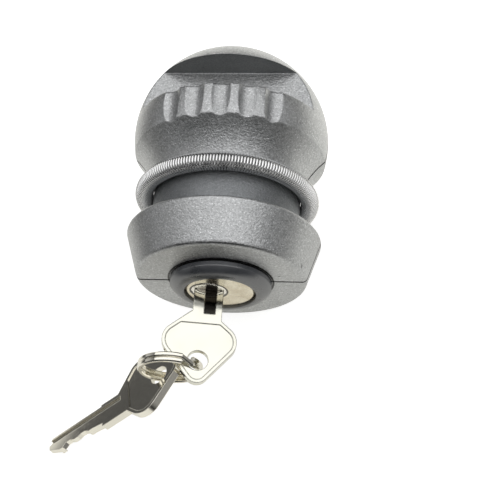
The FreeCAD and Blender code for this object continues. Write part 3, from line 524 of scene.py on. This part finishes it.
def spring_point(step, tube):
    """A point on a coil of the given radius, so many steps along its wire."""
    turn = step / TURN_STEPS * math.tau
    ring = turn / SPRING_TURNS
    radius = SPRING_RING + tube * math.cos(turn)
    level = -SPRING_DROP + tube * math.sin(turn)
    return Vector((radius * math.sin(ring), level, radius * math.cos(ring)))


def make_garter_spring(material):
    """One closed coil of wire round the neck."""
    steps = SPRING_TURNS * TURN_STEPS
    points = [spring_point(step, SPRING_TUBE - SPRING_WIRE) for step in range(steps)]
    vertices, faces = [], []
    for step, point in enumerate(points):
        following = (step + 1) % steps
        along = (points[following] - points[step - 1]).normalized()
        outward = (point - spring_point(step, 0.0)).normalized()
        sideways = along.cross(outward).normalized()
        for side in range(WIRE_SIDES):
            angle = side / WIRE_SIDES * math.tau
            vertices.append(point + (outward * math.cos(angle) + sideways * math.sin(angle)) * SPRING_WIRE)
            beside = (side + 1) % WIRE_SIDES
            faces.append((step * WIRE_SIDES + side, step * WIRE_SIDES + beside,
                          following * WIRE_SIDES + beside, following * WIRE_SIDES + side))
    mesh = bpy.data.meshes.new("garter_coil")
    mesh.from_pydata(vertices, [], faces)
    mesh.update()
    mesh.shade_smooth()
    spring = bpy.data.objects.new("garter_coil", mesh)
    bpy.context.collection.objects.link(spring)
    mesh.materials.append(material)
    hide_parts("garter_spring")
    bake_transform(spring)


# Floor

WHITE = (1.0, 1.0, 1.0)
FLOOR_REACH = 4.0
FLOOR_CORNERS = ((-1, -1), (1, -1), (1, 1), (-1, 1))
FLOOR_PALE = (0.62, 0.62, 0.61)
FLOOR_DIM = (0.08, 0.08, 0.08)
FLOOR_WARM = (1.0, 0.985, 0.91)
FLOOR_ROUGH = 0.9
DIM_AT_LEFT = (0.065, 0.11)
DIM_FAR_OFF = (0.18, 0.32)
SEEN_GLOW = (0.80, 0.98)
MIRRORED_DEPTHS = (-0.03, 0.05)
MIRRORED_GLOW = (0.46, 0.85)


def floor_material():
    """A pale floor that the camera sees as white and that keeps the shadow. For the metal's reflections it
    glows as painted light, bright near the object, and shows a dim room further off, which starts soonest
    at the left."""
    s = Shader("pale_floor")
    path = s.add("ShaderNodeLightPath")
    camera_ray = path.outputs["Is Camera Ray"]
    glossy_ray = path.outputs["Is Glossy Ray"]
    left = s.spread(s.along(s.place, LEFT), DIM_AT_LEFT, UNIT)
    far = s.larger(left, s.spread(s.distance((0.0, MIDDLE_Y, FLOOR_Z)), DIM_FAR_OFF, UNIT))
    seen = s.spread(far, UNIT, SEEN_GLOW)
    # Painted light: the glow that the metal's reflections show, brightest near and behind the object
    behind = s.spread(s.along(s.place, CROWNWARD), MIRRORED_DEPTHS, MIRRORED_GLOW)
    mirrored = s.times(s.spread(far, UNIT, FALL), behind)
    s.set(base_color=s.mix(far, FLOOR_PALE, FLOOR_DIM), roughness=FLOOR_ROUGH)
    s.set(glow_color=s.mix(camera_ray, FLOOR_WARM, WHITE))
    s.set(glow=s.plus(s.times(camera_ray, seen), s.times(glossy_ray, mirrored)))
    return s.material


def make_floor(material):
    mesh = bpy.data.meshes.new("floor")
    corners = [(x * FLOOR_REACH, y * FLOOR_REACH, FLOOR_Z) for x, y in FLOOR_CORNERS]
    mesh.from_pydata(corners, [], [(0, 1, 2, 3)])
    floor = bpy.data.objects.new("floor", mesh)
    bpy.context.collection.objects.link(floor)
    mesh.materials.append(material)


# Light: a softbox overhead in a dim room, whose sides have a direction, a span and a brightness

LAMP_DIRECTION = (0.05, 0.24, 0.97)
LAMP_DISTANCE = 0.75
LAMP_WIDTH = 1.80
LAMP_HEIGHT = 1.20
LAMP_WATTS = 7.6
CEILING = (UP, (0.25, 1.0), (0.04, 0.30))
LEFT_WALL = (LEFT, (0.74, 0.95), (0.0, 0.55))
RIGHT_WALL = (RIGHT, (0.72, 0.95), (0.0, 0.28))


def make_lamp():
    """A softbox above the object, facing it."""
    data = bpy.data.lights.new("overhead_softbox", "AREA")
    data.shape = "RECTANGLE"
    data.size = LAMP_WIDTH
    data.size_y = LAMP_HEIGHT
    data.energy = LAMP_WATTS
    lamp = bpy.data.objects.new("overhead_softbox", data)
    direction = Vector(LAMP_DIRECTION).normalized()
    lamp.location = Vector((0, MIDDLE_Y, 0)) + direction * LAMP_DISTANCE
    lamp.rotation_euler = direction.to_track_quat("Z", "Y").to_euler()
    bpy.context.collection.objects.link(lamp)


def room_side(n, side):
    """How bright one side of the room is in each direction."""
    towards, span, brightness = side
    return n.spread(n.along(n.direction, towards), span, brightness)


def make_world():
    """A dim room with paler walls at the sides and a paler ceiling, which the camera sees as white."""
    world = bpy.data.worlds.new("studio")
    bpy.context.scene.world = world
    world.use_nodes = True
    n = Nodes(world.node_tree)
    walls = n.plus(room_side(n, LEFT_WALL), room_side(n, RIGHT_WALL))
    room = n.plus(room_side(n, CEILING), walls)
    seen = n.add("ShaderNodeLightPath").outputs["Is Camera Ray"]
    background = n.tree.nodes["Background"]
    n.join(WHITE, background.inputs["Color"])
    n.join(n.larger(seen, room), background.inputs["Strength"])


# The scene

make_camera()
nickel = bright_metal("nickel", NICKEL, rough=(0.07, 0.14), rounding=PLATED_ROUNDING)
key_nickel = bright_metal("key_nickel", KEY_NICKEL, rough=(0.06, 0.12), rounding=KEY_ROUNDING,
                          recess=(KEY_AXIS, KEY_RECESS), edge_shade=KEY_EDGE_SHADE)
wire = bright_metal("spring_wire", WIRE_STEEL, rough=(0.10, 0.18), rounding=None)
steel = bright_metal("machined_steel", MACHINED_STEEL, rough=(0.25, 0.40))
brass = bright_metal("stamped_brass", BRASS, rough=(0.22, 0.36))

paint(["front_shell", "rear_shell"], zinc_casting())
paint(["lock_sleeve"], dark_plastic())
paint(["lock_barrel"], barrel_nickel())
paint(["key_plug"], plug_nickel())
paint(["working_key"], key_nickel)
paint(["spare_key", "key_ring"], nickel)
paint(["guide_pins", "upper_wedge", "lower_wedge", "thrust_washer"], steel)
paint(["clamp_screw", "locking_cam", "cam_screw"], steel)
paint(["wafer_1", "wafer_2", "wafer_3", "wafer_4", "wafer_5"], brass)
paint(["wafer_springs"], wire)
make_garter_spring(wire)

make_floor(floor_material())
make_lamp()
make_world()
bpy.context.scene.view_settings.view_transform = "Standard"
